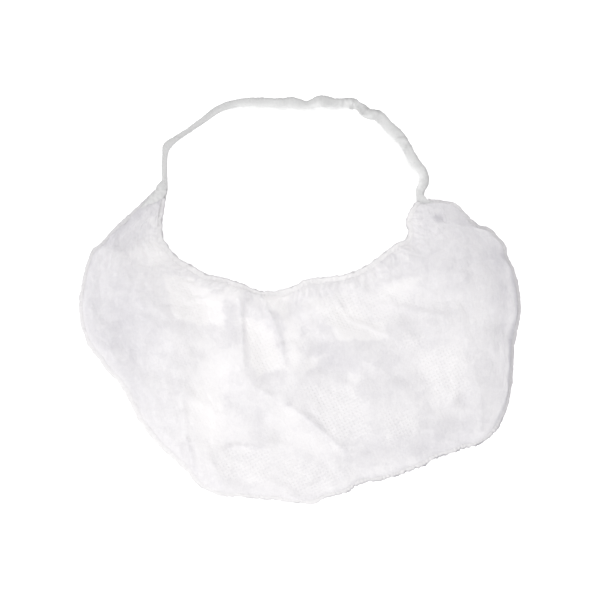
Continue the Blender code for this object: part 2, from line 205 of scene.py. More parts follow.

# Tones run from 0, the dense and shaded white, to 1, the thin and lit white. Soft places where the cloth
# shows lighter than CLOTH_TONE, or with a minus darker, partly as thinner and denser cloth and partly as
# painted light and painted shade: an oval's middle and its half lengths along and across in millimetres,
# and how much more in hundredths of TONE_DEPTH. Where they aren't 0, its turn in degrees and how much of
# the embossed dots shows follow.
CLOTH_TONE = 0.735
TONE_DEPTH = 0.81
PLAIN_DOTS = 0.10
OVAL_COLUMNS = "across up along wide more turn dots"
OVALS = (
    (-131, -4, 26, 55, -13),
    (-112, -20, 20, 32, -10),
    (-140, -21, 8, 25, -4, 8),
    (-112, -60, 20, 14, -3, -50),
    (-115, 48, 20, 10, -12, 35),
    (-96, 68, 8, 10, -16),
    (-93, 33, 14, 12, 16),
    (-80, 34, 9, 16, 8, 30),
    (-56, 13, 15, 5, -1, -20),
    (-26, 10, 20, 7, 10, -5),
    (113, 56, 31, 16, -16, -30),
    (139, 34, 10, 15, -12, -10),
    (93, 55, 4, 3, -25),
    (138, -24, 12, 58, -5),
    (106, 26, 30, 16, -12),
    (103, 0, 18, 8, 5, 20),
    (96, -96, 31, 14, -14, 18),
    (128, -62, 12, 27, -5),
    (36, -108, 24, 10, -7, 12),
    (-7, -116, 45, 15, 9, 0, 0.2),
    (-102, -82, 27, 20, -3, -50),
    (-63, -80, 12, 31, 28),
    (-50, -45, 15, 15, 12),
    (17, -39, 15, 12, -10),
    (49, -55, 23, 15, -5),
    (-20, -62, 16, 9, 6),
    (-44, -88, 12, 14, 9, -20),
    (-34, -33, 9, 14, 12, 10),
    (-24, -83, 10, 12, -2),
    (75, -32, 16, 12, -8),
    (83, 52, 10, 12, -10),
    (-112, -36, 14, 34, -5, 8),
    (-5, -80, 12, 12, 3),
    (132, 12, 14, 24, -9),
    (128, 55, 8, 8, 10),
    (80, -44, 10, 8, 8),
    (-134, -50, 12, 12, 7),
    (-18, 0, 9, 7, 14),
    (-65, -19, 8, 8, 8),
    (17, -50, 9, 8, 5),
    (33, 0, 8, 8, -6),
    (-98, -17, 10, 10, -7),
    (-16, 2, 6, 5, 12),
    (-11, -3, 6, 7, 13),
    (140, -5, 7, 22, -5),
    (66, -98, 10, 8, -5),
    (126, 24, 8, 12, -5),
    (65, 9, 9, 4, 14, 25),
    (7, -6, 6, 8, 10),
    (-70, -9, 12, 8, 8),
    (130, 3, 10, 10, -6),
    (62, -10, 8, 8, 6),
    (34, -11, 8, 8, 6),
    (50, -92, 12, 12, -5),
    (-38, -92, 12, 8, 5),
    (37, -127, 8, 8, 8),
    (20, -74, 12, 10, 5),
    (126, -26, 8, 12, -6),
    (110, 4, 12, 10, -7),
    (-52, 18, 12, 8, 10, -20),
    (-20, 2, 8, 8, 10),
    (31, -12, 10, 6, 8),
    (113, -62, 8, 10, -7),
    (83, -80, 9, 8, -5),
    (-68, -104, 12, 10, -5, -40),
    (-146, 8, 10, 22, -5),
    (-110, -46, 10, 10, 5),
    (66, 18, 10, 8, -5),
    (96, -4, 12, 10, -2),
    (-71, -28, 15, 8, 8, -10),
    (75, 60, 5, 12, 10, 10, 0.3),
    (37, -52, 5, 4, 12),
    (-102, 28, 10, 8, 10),
    (21, 11, 27, 5, 6, 6, 0.3),
)

# Crisper places, facets between folds, lighter with painted light and thinner cloth, or with a minus
# darker with painted shade: four corners across and up in millimetres, in order round the facet, how soft
# its border is, how much more as a share of TONE_DEPTH, and how much of the dots shows.
# FACET_SWAY is how far the borders waver.
FACET_SWAY = 2.6
FACET_SOFTNESS = 2.2
FACETS = (
    (-90, 17, -72, 15, -65, -15, -82, -13, 2, 0.3, 0.7),
    (-74, 13, -52, 2, -52, -19, -68, -15, 2, 0.26, 0.1),
    (-50, 11, -38, 9, -41, -4, -52, 0, 3.4, 0.2, 0.3),
    (-38, -13, -24, -15, -8, -46, -29, -49, 2.2, 0.27, 1),
    (-24, 6, -7, 8, -10, -9, -19, -2, 3.4, 0.24, 0.2),
    (-10, -11, 0, -17, -1, -49, -7, -43, 3.4, 0.26, 0.1),
    (8, 0, 36, 7, 37, -18, 21, -17, 3.4, 0.19, 0.8),
    (34, 6, 57, 6, 59, -14, 34, -15, 4.1, 0.12, 0.6),
    (22, -16, 57, -13, 57, -26, 26, -26, 2, 0.24, 0.1),
    (57, 11, 77, 13, 75, -3, 57, -3, 4.1, 0.15, 0.5),
    (2, -39, 16, -38, 8, -47, 2, -52, 2.4, 0.2, 0),
    (78, -35, 104, -30, 116, -62, 90, -70, 4.8, 0.11, 1),
    (68, -24, 82, -23, 85, -32, 70, -32, 2.7, 0.07, 0.8),
    (-53, -103, -20, -99, -20, -127, -54, -119, 4.1, 0.05, 0.9),
    (-26, -71, -5, -72, 26, -101, -22, -104, 3.4, 0.1, 0.2),
    (4, -56, 36, -58, 49, -96, 17, -90, 2.6, 0.06, 0.9),
    (57, -75, 78, -77, 75, -93, 57, -95, 4.8, 0.08, 0.9),
    (-12, -107, 34, -115, 18, -133, -11, -133, 5.5, 0.02, 0.8),
    (-52, -4, -43, -4, -39, -34, -48, -34, 2.7, -0.07, 0),
    (4, -28, 27, -28, 32, -49, 11, -49, 3.4, -0.06, 0),
    (27, -29, 57, -28, 57, -44, 32, -45, 3.4, -0.05, 0),
    (-20, -9, -15, -7, -7, -33, -12, -36, 3, -0.05, 0),
)

# The trims by section: the tones of the rim line where the elastic runs and the rolled edge gets painted
# shade, of the rest of the hem and of the seam, whose welded cloth is darkest on the right with painted
# shade, how strong the painted light and shade on the seam's crimps and the painted shade line at its
# outer edge are, and in millimetres how far the seam frays beyond
# SEAM_WIDTH and how far into the cloth its tone, painted shade and all, reaches
TRIM_COLUMNS = "at rim hem seam crimp fringe margin"
TRIMS = (
    (0, 0.24, 0.58, 0.46, 0.1, 0.4, 6),
    (1.5, 0.3, 0.64, 0.5, 0.09, 0.7, 8),
    (3, 0.34, 0.7, 0.59, 0.08, 0.9, 5),
    (4.5, 0.27, 0.71, 0.66, 0.06, 1.3, 3.8),
    (6, 0.27, 0.7, 0.73, 0.06, 1.8, 3.8),
    (8, 0.36, 0.74, 0.76, 0.1, 2, 3.8),
    (9.5, 0.42, 0.77, 0.76, 0.22, 0.6, 3.2),
    (11, 0.4, 0.75, 0.75, 0.32, 0.6, 3.2),
    (12.5, 0.42, 0.78, 0.67, 0.62, 0.9, 3.2),
    (14, 0.42, 0.78, 0.64, 0.74, 1.1, 3.2),
    (15.5, 0.4, 0.76, 0.58, 0.5, 0.8, 3.2),
    (16.2, 0.38, 0.74, 0.43, 0.1, 0.8, 3.2),
    (17.5, 0.36, 0.72, 0.39, 0.06, 0.8, 3.8),
    (18.5, 0.36, 0.72, 0.4, 0.06, 0.8, 4.4),
    (19.5, 0.4, 0.74, 0.48, 0.16, 0.6, 3.8),
    (21, 0.44, 0.78, 0.56, 0.24, 0.8, 3.8),
    (23, 0.24, 0.64, 0.64, 0.14, 0.4, 3.8),
)

# Rows from the left end to the right one: shares of half MOUTH_WIDTH, STRAP_RISE, STRAP_WIDTH and, after
# the turn in degrees, STRAP_LIFT. Fold is the share of FLAP_WIDTH by which the tape's inner fold shows.
STRAP_COLUMNS = "across rise width turn lift fold"
STRAP = (
    (-0.98, 0.12, 0.56, 10, 0.2, 0),
    (-0.984, 0.28, 0.54, 25, 0.05, 0),
    (-0.98, 0.42, 0.58, 30, 0, 0.1),
    (-0.96, 0.51, 0.72, 15, 0.15, 0.2),
    (-0.882, 0.584, 0.6, 30, 0.1, 0),
    (-0.78, 0.668, 0.56, 30, 0, 0),
    (-0.67, 0.764, 0.6, 15, 0.05, 0.1),
    (-0.56, 0.86, 0.66, 10, 0.15, 0.2),
    (-0.45, 0.909, 0.7, 5, 0.05, 0.5),
    (-0.333, 0.933, 0.74, 5, 0, 0.9),
    (-0.208, 0.928, 0.82, 0, 0.05, 1),
    (-0.067, 0.918, 0.86, -5, 0.2, 1),
    (0.02, 0.925, 0.98, 5, 0.2, 1),
    (0.14, 0.903, 0.74, 5, 0.05, 1),
    (0.24, 0.935, 1.16, 20, 0.5, 0.9),
    (0.365, 0.916, 0.92, 5, 0.1, 0.9),
    (0.467, 0.913, 0.98, -25, 0.55, 0.6),
    (0.537, 0.88, 1.14, 45, 0.9, 0),
    (0.612, 0.812, 0.94, -20, 0.45, 0),
    (0.69, 0.796, 1.02, 0, 0.1, 0.3),
    (0.773, 0.697, 0.98, 0, 0, 0.8),
    (0.86, 0.588, 1.14, 18, 0.35, 1),
    (0.908, 0.497, 1.08, 30, 0.6, 0.8),
    (0.976, 0.36, 0.92, 5, 0.1, 1),
    (1.042, 0.247, 0.84, -25, 0.4, 0.8),
    (1.05, 0.154, 0.92, 10, 0.25, 0.5),
    (1.02, 0.07, 0.76, 0, 0.3, 0.2),
)

# The seam's thickness and the pitch of its crimps, the tape's inner fold, and the cloth that is gathered
# onto the strap's ends
SEAM_THICKNESS = 0.0009
CRIMP_PITCH = 0.0026
FLAP_WIDTH = 0.0026
END_WIDTH = 0.0056
END_HEIGHT = 0.0031
END_THICKNESS = 0.0011

# Creases across the strap where it turns over: the row of the strap's table, how far the crease slants
# from one edge to the other in rows, its half width in rows, its depth and how deep the painted shade in
# it is
GROOVE_COLUMNS = "at slant wide deep dark"
GROOVES = (
    (4.1, 0.5, 0.1, 0.3, 0.05),
    (14.6, -0.4, 0.14, 0.25, 0.03),
    (16, 0.6, 0.14, 0.45, 0.07),
    (17.9, -0.9, 0.16, 0.45, 0.04),
    (19.1, 0.5, 0.14, 0.35, 0.05),
    (22, 0.7, 0.16, 0.4, 0.06),
    (23.3, -0.6, 0.16, 0.3, 0.03),
    (25.3, 0.6, 0.16, 0.3, 0.03),
)

# Painted highlights and painted shade on the strap where it turns over: the places that a line runs
# through, each across and up in millimetres, the line's half width in millimetres, and how much lighter,
# or with a minus darker, it is
TURN_LIGHT_AND_SHADE = (
    (31.5, 136.9, 34.9, 137.9, 39, 137.5, 42.5, 134.1, 0.9, -0.12),
    (32.6, 133.4, 33.9, 133.4, 1.5, 0.13),
    (29.5, 135.5, 29.1, 131.4, 0.7, -0.12),
    (31.5, 129.4, 36.3, 130, 0.8, -0.1),
    (36.3, 132.8, 38, 128, 42.5, 124.6, 48.6, 124.2, 1.1, 0.13),
    (45.2, 129.7, 50.6, 130.4, 54.7, 127, 0.9, -0.08),
    (43.1, 132.1, 46.6, 128, 0.8, -0.05),
    (67, 110.2, 71.8, 110.6, 74.5, 107.9, 75.2, 104.1, 0.9, -0.15),
    (69.8, 107.9, 71.8, 106.8, 1.2, 0.12),
    (85.5, 87.7, 87.2, 81.6, 86.5, 76.1, 0.9, -0.12),
    (82, 84.3, 81.4, 76.1, 1.2, 0.12),
    (84.1, 72, 86.1, 74.7, 0.8, -0.12),
)

# The cloth's settling: the fineness of its grid, the most spare cloth beyond the plain shape, how far
# that reaches from the hem and from the seam, and how firmly the cloth keeps its plain shape
SETTLE_STEPS = 10
SETTLE_ACROSS = 72
SETTLE_FRAMES = 28
SPARE = 0.075
HEM_SPARE_REACH = 0.02
SEAM_SPARE_REACH = 0.015
FULL_WIDTH = 0.045
KEEP = 0.05
STIFFNESS = 20.0
BENDING = 0.08
POINT_MASS = 0.002
SEED_RIPPLE = 0.0002

# Squares of noise before it repeats
LATTICE = 64

# The finished cloth: steps to each of the settled grid's, the fine crumple, how far from the edges the
# fine relief sets in, how deep the creases' painted shade is, the painted light and shade of the gathers
# at the hem and their reach, and the trims' least height
FINER = 2
CRUMPLES = 420
CRUMPLE_SIZE = 0.010
CRUMPLE_SHARE = 0.05
EDGE_REACH = 0.006
CREASE_SHADE = 0.13
GATHER_SHADING = 0.11
GATHER_REACH = 0.020
TABLE_GAP = 0.0002

# Photograph: its width on the table and its middle, the lens of a camera high above, the strength of
# the lights, and where the window stands
PHOTO_WIDTH = 0.4096
PHOTO_ASIDE = 0.00014
PHOTO_UP = -0.00034
LENS = 100.0
SENSOR = 36.0
SKY = 1.12
WINDOW = 0.85
WINDOW_PLACE = (-0.8, -0.7, 1.0)
WINDOW_ANGLE = 35
TABLE_GLOW = 0.35
TABLE_REACH = 12.0


def through(rows, steps):
    """Smooth curves through the rows of a table, Catmull-Rom cubics with some steps to each row."""
    row = np.array(rows, float)
    padded = np.vstack([2 * row[0] - row[1], row, 2 * row[-1] - row[-2]])
    before, here, there, after = (padded[i : i + len(row) - 1, None, :] for i in range(4))
    t = (np.arange(steps) / steps)[None, :, None]
    curve = 0.5 * (
        2 * here
        + (there - before) * t
        + (2 * before - 5 * here + 4 * there - after) * t**2
        + (3 * here - before - 3 * there + after) * t**3
    )
    return np.vstack([curve.reshape(-1, row.shape[1]), row[-1:]])


def finer(grid):
    """A grid of points with smooth curves through its rows and then its columns."""
    for _ in range(2):
        flat = through(grid.reshape(len(grid), -1), FINER)
        grid = flat.reshape(len(flat), *grid.shape[1:]).transpose(1, 0, 2)
    return grid


def columns(names, values):
    """The columns of a table by name."""
    return dict(zip(names.split(), np.array(values, float).T))


def named_rows(names, table):
    """The rows of a table, each with its values by name."""
    return [dict(zip(names.split(), values)) for values in table]


def ease(x):
    """0 up to 0, 1 from 1 on, and a smooth rise between them."""
    x = np.clip(x, 0, 1)
    return x * x * (3 - 2 * x)


def bell(x):
    """1 at 0, fading to either side with the square of x."""
    return np.exp(-(x**2))


def smoothed(grid):
    """A grid softened: inside its border each row and then each column becomes a quarter of either
    neighbour and a half of itself."""
    grid = grid.copy()
    grid[1:-1] = grid[:-2] / 4 + grid[1:-1] / 2 + grid[2:] / 4
    grid[:, 1:-1] = grid[:, :-2] / 4 + grid[:, 1:-1] / 2 + grid[:, 2:] / 4
    return grid


def aside(path):
    """The unit vectors level with a path and square to it, on its right-hand side."""
    along = np.gradient(path, axis=0)
    along /= np.linalg.norm(along, axis=1)[:, None]
    return np.stack([along[:, 1], -along[:, 0]], axis=1)


def together(*values):
    """Several arrays as the last axis of one, each stretched to the shape that they share."""
    return np.stack(np.broadcast_arrays(*values), axis=-1)


def length_along(path):
    """How far along a path each of its points lies, as a column."""
    return np.append(0, np.cumsum(np.linalg.norm(np.diff(path, axis=0), axis=1)))[:, None]


def noise(x, y, cell, seed):
    """Gradient noise from about -1 to 1: on a square lattice each corner has a slope in a random
    direction, and the eased mix of the four corners' slopes is the height."""
    angle = np.random.default_rng(seed).uniform(0, 2 * math.pi, (LATTICE, LATTICE))
    column, row = np.floor(x / cell).astype(int), np.floor(y / cell).astype(int)
    right, up = x / cell - column, y / cell - row
    height = 0
    for i in (0, 1):
        for j in (0, 1):
            way = angle[(column + i) % LATTICE, (row + j) % LATTICE]
            slope = np.cos(way) * (right - i) + np.sin(way) * (up - j)
            near = ease(1 - np.abs(right - i)) * ease(1 - np.abs(up - j))
            height = height + slope * near
    return 1.6 * height


def crumple(x, y, seed):
    """A crumpled relief, in metres: the sum of short creases at random places and angles. Each is a
    tent with a rounded crest that fades with the square of the distance from its middle."""
    rng = np.random.default_rng(seed)
    middle_x = rng.uniform(x.min(), x.max(), CRUMPLES)
    middle_y = rng.uniform(y.min(), y.max(), CRUMPLES)
    turns = rng.uniform(0, math.pi, CRUMPLES)
    sizes = rng.uniform(0.5, 1.5, CRUMPLES) * CRUMPLE_SIZE
    signs = rng.choice((-1.0, 1.0), CRUMPLES)
    height = np.zeros(x.shape)
    for left, low, turn, size, sign in zip(middle_x, middle_y, turns, sizes, signs):
        along = (x - left) * math.cos(turn) + (y - low) * math.sin(turn)
        across = (y - low) * math.cos(turn) - (x - left) * math.sin(turn)
        tent = size - np.hypot(across, 0.08 * size)
        height += sign * tent * np.exp(-((along / size) ** 2) - (2 * across / size) ** 2)
    return height


def outline(steps):
    """The crescent in plan: the rim of the mouth, both edges of the cloth, and the sections' columns."""
    s = columns(SECTION_COLUMNS, through(SECTIONS, steps))
    rim = np.stack([MOUTH_WIDTH / 2 * s["rim_across"], -MOUTH_DEPTH * s["rim_down"]], axis=1)
    reach = np.stack([SIDE_WIDTH * s["reach_across"], -DOWN_DEPTH * s["reach_down"]], axis=1)
    start = rim + aside(rim) * (HEM_WIDTH + CLEARANCE)
    end = start + reach
    at = np.arange(len(end)) / steps
    tuck = columns(TUCK_COLUMNS, TUCKS)
    nearness = bell((at[:, None] - tuck["at"]) / tuck["spread"])
    end += aside(end) * TUCK_REACH * (nearness @ tuck["push"])[:, None]
    for name in ("puff", "gape", "curl"):
        s[name] = np.clip(s[name], 0, None)
    return rim, start, end, s


def place_in_frame():
    """How far the net's own origin lies from the frame's: from the box of the lower layer's node."""
    _, start, end, _ = outline(COARSE_STEPS)
    both = np.concatenate([start, end])
    low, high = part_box("back_panel")
    middle = (np.array(low[:2]) + np.array(high[:2])) / 2
    return middle - (both.min(axis=0) + both.max(axis=0)) / 2


def crescent(steps):
    """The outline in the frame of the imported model."""
    rim, start, end, s = outline(steps)
    return rim + ORIGIN, start + ORIGIN, end + ORIGIN, s


ORIGIN = place_in_frame()


def spans(plan):
    """How far the cloth's points in plan lie from the hem and from the seam."""
    return [np.linalg.norm(plan - edge, axis=2) for edge in (plan[:, :1], plan[:, -1:])]


def interpolated(at, number, edge):
    """The place on an edge of the cloth at a section, between the places of numbered ones."""
    return np.array([np.interp(at, number, edge[:, axis]) for axis in (0, 1)])


def line_fields(plan, names, table):
    """For each row of a table of lines, the row by name and the distance of the cloth's points from the
    line: from a point's shadow on it, or from the end that is nearer."""
    number = np.linspace(0, len(SECTIONS) - 1, len(plan))
    near, far = plan[:, 0], plan[:, -1]
    for row in named_rows(names, table):
        ends = []
        for at, share in ((row["from_at"], row["from_share"]), (row["to_at"], row["to_share"])):
            hem, seam = (interpolated(at, number, edge) for edge in (near, far))
            ends.append(hem + (seam - hem) * share)
        run = ends[1] - ends[0]
        share = np.clip(((plan - ends[0]) @ run) / (run @ run), 0, 1)
        yield row, np.linalg.norm(plan - ends[0] - share[..., None] * run, axis=2)


def fold_field(plan):
    """The height of the broad folds: each is a crest that fades with the square of the distance."""
    height = np.zeros(plan.shape[:2])
    for row, far in line_fields(plan, FOLD_COLUMNS, FOLDS):
        height += row["rise"] * FOLD_HEIGHT * bell(far / (row["spread"] * FOLD_SPREAD))
    return height


def crease_field(plan, column):
    """The sharp creases' rise, or their painted shade: each is a narrow crest that fades with the
    distance.
    """
    height = np.zeros(plan.shape[:2])
    for row, far in line_fields(plan, CREASE_COLUMNS, CREASES):
        height += row[column] * np.exp(-np.hypot(far / CREASE_SPREAD, 0.4) + 0.4)
    return height


def oval_fields(plan):
    """How much lighter the soft places show, as thinner cloth and painted light, or with a minus darker,
    as denser cloth and painted shade, and their dots: ovals that fade from their middles with the cube of
    the distance."""
    more, dots = np.zeros(plan.shape[:2]), np.zeros(plan.shape[:2])
    for row in named_rows(OVAL_COLUMNS, OVALS):
        turn = math.radians(row.get("turn", 0))
        x, y = plan[..., 0] * 1000 - row["across"], plan[..., 1] * 1000 - row["up"]
        along = (x * math.cos(turn) + y * math.sin(turn)) / row["along"]
        wide = (y * math.cos(turn) - x * math.sin(turn)) / row["wide"]
        share = np.exp(-((along**2 + wide**2) ** 1.5))
        more += row["more"] / 100 * share
        dots += row.get("dots", 0) * share
    return more, dots


def facet_fields(plan):
    """How much lighter the facets show, with painted light and thinner cloth, or with a minus darker with
    painted shade, and their dots. A point's share of a facet rises smoothly with its distance inside the
    nearest border, on a plan that wavers a little."""
    x, y = plan[..., 0], plan[..., 1]
    sway = [noise(x, y, 0.009, seed) + 0.6 * noise(x, y, 0.0035, seed + 1) for seed in (61, 63)]
    spot = plan * 1000 + FACET_SWAY * np.stack(sway, axis=-1)
    more, dots = np.zeros(x.shape), np.zeros(x.shape)
    for *corners, soft, amount, dotted in FACETS:
        corner = np.array(corners, float).reshape(4, 2)
        side = np.roll(corner, -1, axis=0) - corner
        side /= np.linalg.norm(side, axis=1)[:, None]
        away = spot[:, :, None] - corner
        inside = away[..., 0] * side[:, 1] - away[..., 1] * side[:, 0]
        share = ease(inside.min(axis=2) / (FACET_SOFTNESS * soft) + 0.5)
        more += amount * share
        dots += dotted * share
    return more, dots


def hem_base(s, upper):
    """The height of a hem's underside: the table, or above the lower hem by the mouth's gape."""
    return upper * (HEM_THICKNESS + CLEARANCE + MOUTH_GAPE * s["gape"])


def pleat_field(plan, s):
    """The height of the pleats, which rise beside the hem and run out into the cloth: broad ones, and
    finer ones between them that fade sooner."""
    from_hem, _ = spans(plan)
    at = np.linspace(0, 1, len(plan))[:, None]
    drift = noise(at * 9 + 0 * from_hem, from_hem / 0.03, 1.0, 5)
    broad = np.sin(math.pi * (PLEATS * at + 0.25 * drift)) ** 2
    fine = np.sin(math.pi * (3.3 * PLEATS * at + 0.8 * drift)) ** 2
    rise = ease(from_hem / HEM_WIDTH)
    height = broad * ease(1 - from_hem / PLEAT_REACH) + 0.7 * fine * ease(1 - from_hem / 0.016)
    return PLEAT_HEIGHT * height * rise * s["gape"][:, None]


def seam_lift(s, from_seam, reach):
    """How far the seam lifts the cloth off the table: its curl, which fades out over a reach."""
    return SEAM_CURL * s["curl"][:, None] * ease(1 - from_seam / reach)


def lower_cloth(plan, s):
    """The lower layer: flat on the table, with pleats at the mouth and a curled outer edge."""
    _, from_seam = spans(plan)
    z = seam_lift(s, from_seam, UNDER_CURL_REACH) + pleat_field(plan, s) + CLOTH_WALL / 3
    return np.concatenate([plan, z[..., None]], axis=2)


def upper_cloth(plan, s):
    """The upper layer: a dome from the upper hem to the seam with its folds, pleats and creases, which
    comes down onto the lower layer over the last of the way to the seam."""
    v = np.linspace(0, 1, plan.shape[1])
    from_hem, from_seam = spans(plan)
    width = from_hem[:, -1]
    puff = PUFF_HEIGHT * s["puff"] * width / (width + PUFF_HEIGHT)
    seat = seam_lift(s, from_seam, CURL_REACH) + CLOTH_WALL + CLEARANCE
    at_hem = hem_base(s, True) + (HEM_THICKNESS - CLOTH_WALL) / 2 - CLOTH_WALL - CLEARANCE
    dome = puff[:, None] * np.sin(math.pi * v) ** PUFF_ROUNDNESS
    inner = ease(from_hem / FOLD_MARGIN) * ease(from_seam / FOLD_MARGIN)
    z = seat + at_hem[:, None] * (1 - v) ** 2 + dome
    z = z + fold_field(plan) * inner + pleat_field(plan, s)
    z = z + CREASE_HEIGHT * crease_field(plan, "rise") * ease(from_seam / EDGE_REACH)
    z = np.maximum(z, seat + (CLEARANCE + PLEAT_HEIGHT) * inner) + CLOTH_WALL * 0.7
    z -= 1.3 * CLOTH_WALL * ease(1 - from_seam / 0.008)
    return np.concatenate([plan, z[..., None]], axis=2)


def grid_faces(rows, across):
    """The four-sided faces of a grid of points, facing up where across lies to the right of along."""
    number = np.arange(rows * across).reshape(rows, across)
    quads = [number[:-1, :-1], number[:-1, 1:], number[1:, 1:], number[1:, :-1]]
    return np.stack(quads, axis=-1).reshape(-1, 4)


def add_mesh(name, points, faces, finish, uv=None, **values):
    """A piece from arrays: its points, its faces in sets of one number of corners each, its finish, a UV
    map in metres and, for each further name, an attribute with a value at each point."""
    mesh = bpy.data.meshes.new(name)
    points = points.reshape(-1, 3)
    mesh.vertices.add(len(points))
    mesh.vertices.foreach_set("co", points.astype(np.float32).ravel())
    corners = np.concatenate([part.ravel() for part in faces])
    sizes = np.concatenate([np.full(len(part), part.shape[1]) for part in faces])
    mesh.loops.add(len(corners))
    mesh.loops.foreach_set("vertex_index", corners.astype(np.int32))
    mesh.polygons.add(len(sizes))
    mesh.polygons.foreach_set("loop_start", (np.cumsum(sizes) - sizes).astype(np.int32))
    mesh.update(calc_edges=True)
    mesh.validate()
    if uv is not None:
        layer = mesh.uv_layers.new(name="cloth")
        layer.data.foreach_set("uv", uv.reshape(-1, 2)[corners].astype(np.float32).ravel())
    for key, value in values.items():
        layer = mesh.attributes.new(key, "FLOAT", "POINT")
        layer.data.foreach_set("value", value.astype(np.float32).ravel())
    mesh.shade_smooth()
    mesh.materials.append(finish)
    piece = bpy.data.objects.new(name, mesh)
    bpy.context.scene.collection.objects.link(piece)
    return piece


def carried(path, out, z):
    """Points carried along a path, some way out to its right-hand side and at a height above the table."""
    plan = path[:, None] + aside(path)[:, None] * out[..., None]
    return np.concatenate([plan, np.maximum(z, TABLE_GAP)[..., None]], axis=2)


def side_of(up):
    """1 on a tube's upper side and -1 on its underside."""
    return np.sign(up + 0.001)


def add_tube(name, path, out, z, round_it, finish, tone):
    """A closed tube carried along a path, whose cloth has its own place round it. A fan of faces closes
    each end, round one more point at the middle of the end's ring."""
    rings = carried(path, out, z)
    uv = together(length_along(path), round_it)
    count, sides = rings.shape[:2]
    number = np.arange(count * sides).reshape(count, sides)
    turned = np.roll(number, -1, axis=1)
    quads = np.stack([number[:-1], turned[:-1], turned[1:], number[1:]], axis=-1).reshape(-1, 4)
    first, last = np.full(sides, count * sides), np.full(sides, count * sides + 1)
    fans = np.vstack([
        np.stack([first, turned[0], number[0]], axis=-1),
        np.stack([last, number[-1], turned[-1]], axis=-1),
    ])

    def with_ends(grid):
        flat = grid.reshape(count * sides, -1)
        return np.vstack([flat, flat[:sides].mean(axis=0), flat[-sides:].mean(axis=0)])

    tone = np.broadcast_to(tone, (count, sides))
    faces = (quads, fans)
    return add_mesh(name, with_ends(rings), faces, finish, uv=with_ends(uv), tone=with_ends(tone))


def loop(sides, fullness):
    """A flat loop's points: their shares of the way across it, there on top and back underneath, and
    their heights from 1 to -1, the sine of the angle to the power of the fullness."""
    angle = (2 * math.pi * np.arange(sides) / sides)[None, :]
    return (1 - np.cos(angle)) / 2, np.sign(np.sin(angle)) * np.abs(np.sin(angle)) ** fullness


def weigh(piece, name, weights):
    """A group of the piece's points with their weights, which are rounded to 64ths."""
    group = piece.vertex_groups.new(name=name)
    level = np.round(weights.ravel() * 64) / 64
    for value in np.unique(level):
        group.add(np.flatnonzero(level == value).tolist(), float(value), "REPLACE")


def settle(grid, spare, seed):
    """The cloth after it has settled. Blender's Cloth gets more cloth than the grid's own shape holds,
    is held at its borders and drawn softly back to that shape, and buckles into wrinkles."""
    rows, across = grid.shape[:2]
    border = np.ones((rows, across))
    border[1:-1, 1:-1] = KEEP
    ripple = np.random.default_rng(seed).normal(0, SEED_RIPPLE, (rows, across)) * (border < 1)
    seeded = grid + ripple[..., None] * np.array((0, 0, 1))
    piece = add_mesh("settling", seeded, [grid_faces(rows, across)], None)
    weigh(piece, "held", border)
    weigh(piece, "taut", 1 - spare)
    cloth = piece.modifiers.new("cloth", "CLOTH")
    settings = cloth.settings
    settings.quality = 5
    settings.mass = POINT_MASS
    settings.tension_stiffness = STIFFNESS
    settings.compression_stiffness = STIFFNESS
    settings.shear_stiffness = 0.4 * STIFFNESS
    settings.bending_stiffness = BENDING
    settings.air_damping = 4
    settings.vertex_group_mass = "held"
    settings.vertex_group_shrink = "taut"
    settings.shrink_min = -SPARE
    settings.effector_weights.gravity = 0
    cloth.collision_settings.use_collision = False
    cloth.point_cache.frame_end = SETTLE_FRAMES
    for number in range(1, SETTLE_FRAMES + 1):
        bpy.context.scene.frame_set(number)
    settled = piece.evaluated_get(bpy.context.evaluated_depsgraph_get()).data
    points = np.empty(grid.size, np.float32)
    settled.vertices.foreach_get("co", points)
    bpy.context.scene.frame_set(1)
    mesh = piece.data
    bpy.data.objects.remove(piece)
    bpy.data.meshes.remove(mesh)
    return points.reshape(grid.shape).astype(float)


def maths(operation):
    """A method that puts a Math node with an operation on its number and any others."""

    def method(self, *others):
        values = dict(enumerate((self, *others)))
        return self.finish.number("Math", values, operation=operation)

    return method


class Number:
    """A number's socket in a material, on which sums are written as plain expressions."""

    def __init__(self, finish, socket):
        self.finish = finish
        self.socket = socket

    __add__ = __radd__ = maths("ADD")
    __sub__ = maths("SUBTRACT")
    __mul__ = __rmul__ = maths("MULTIPLY")
    __abs__ = maths("ABSOLUTE")
    cosine = maths("COSINE")

    def __rsub__(self, other):
        return self * -1 + other

    def between(self, low, high):
        """0 up to low, 1 from high on, and a smooth rise between them."""
        values = {"Value": self, "From Min": low, "From Max": high}
        return self.finish.number("MapRange", values, interpolation_type="SMOOTHSTEP")


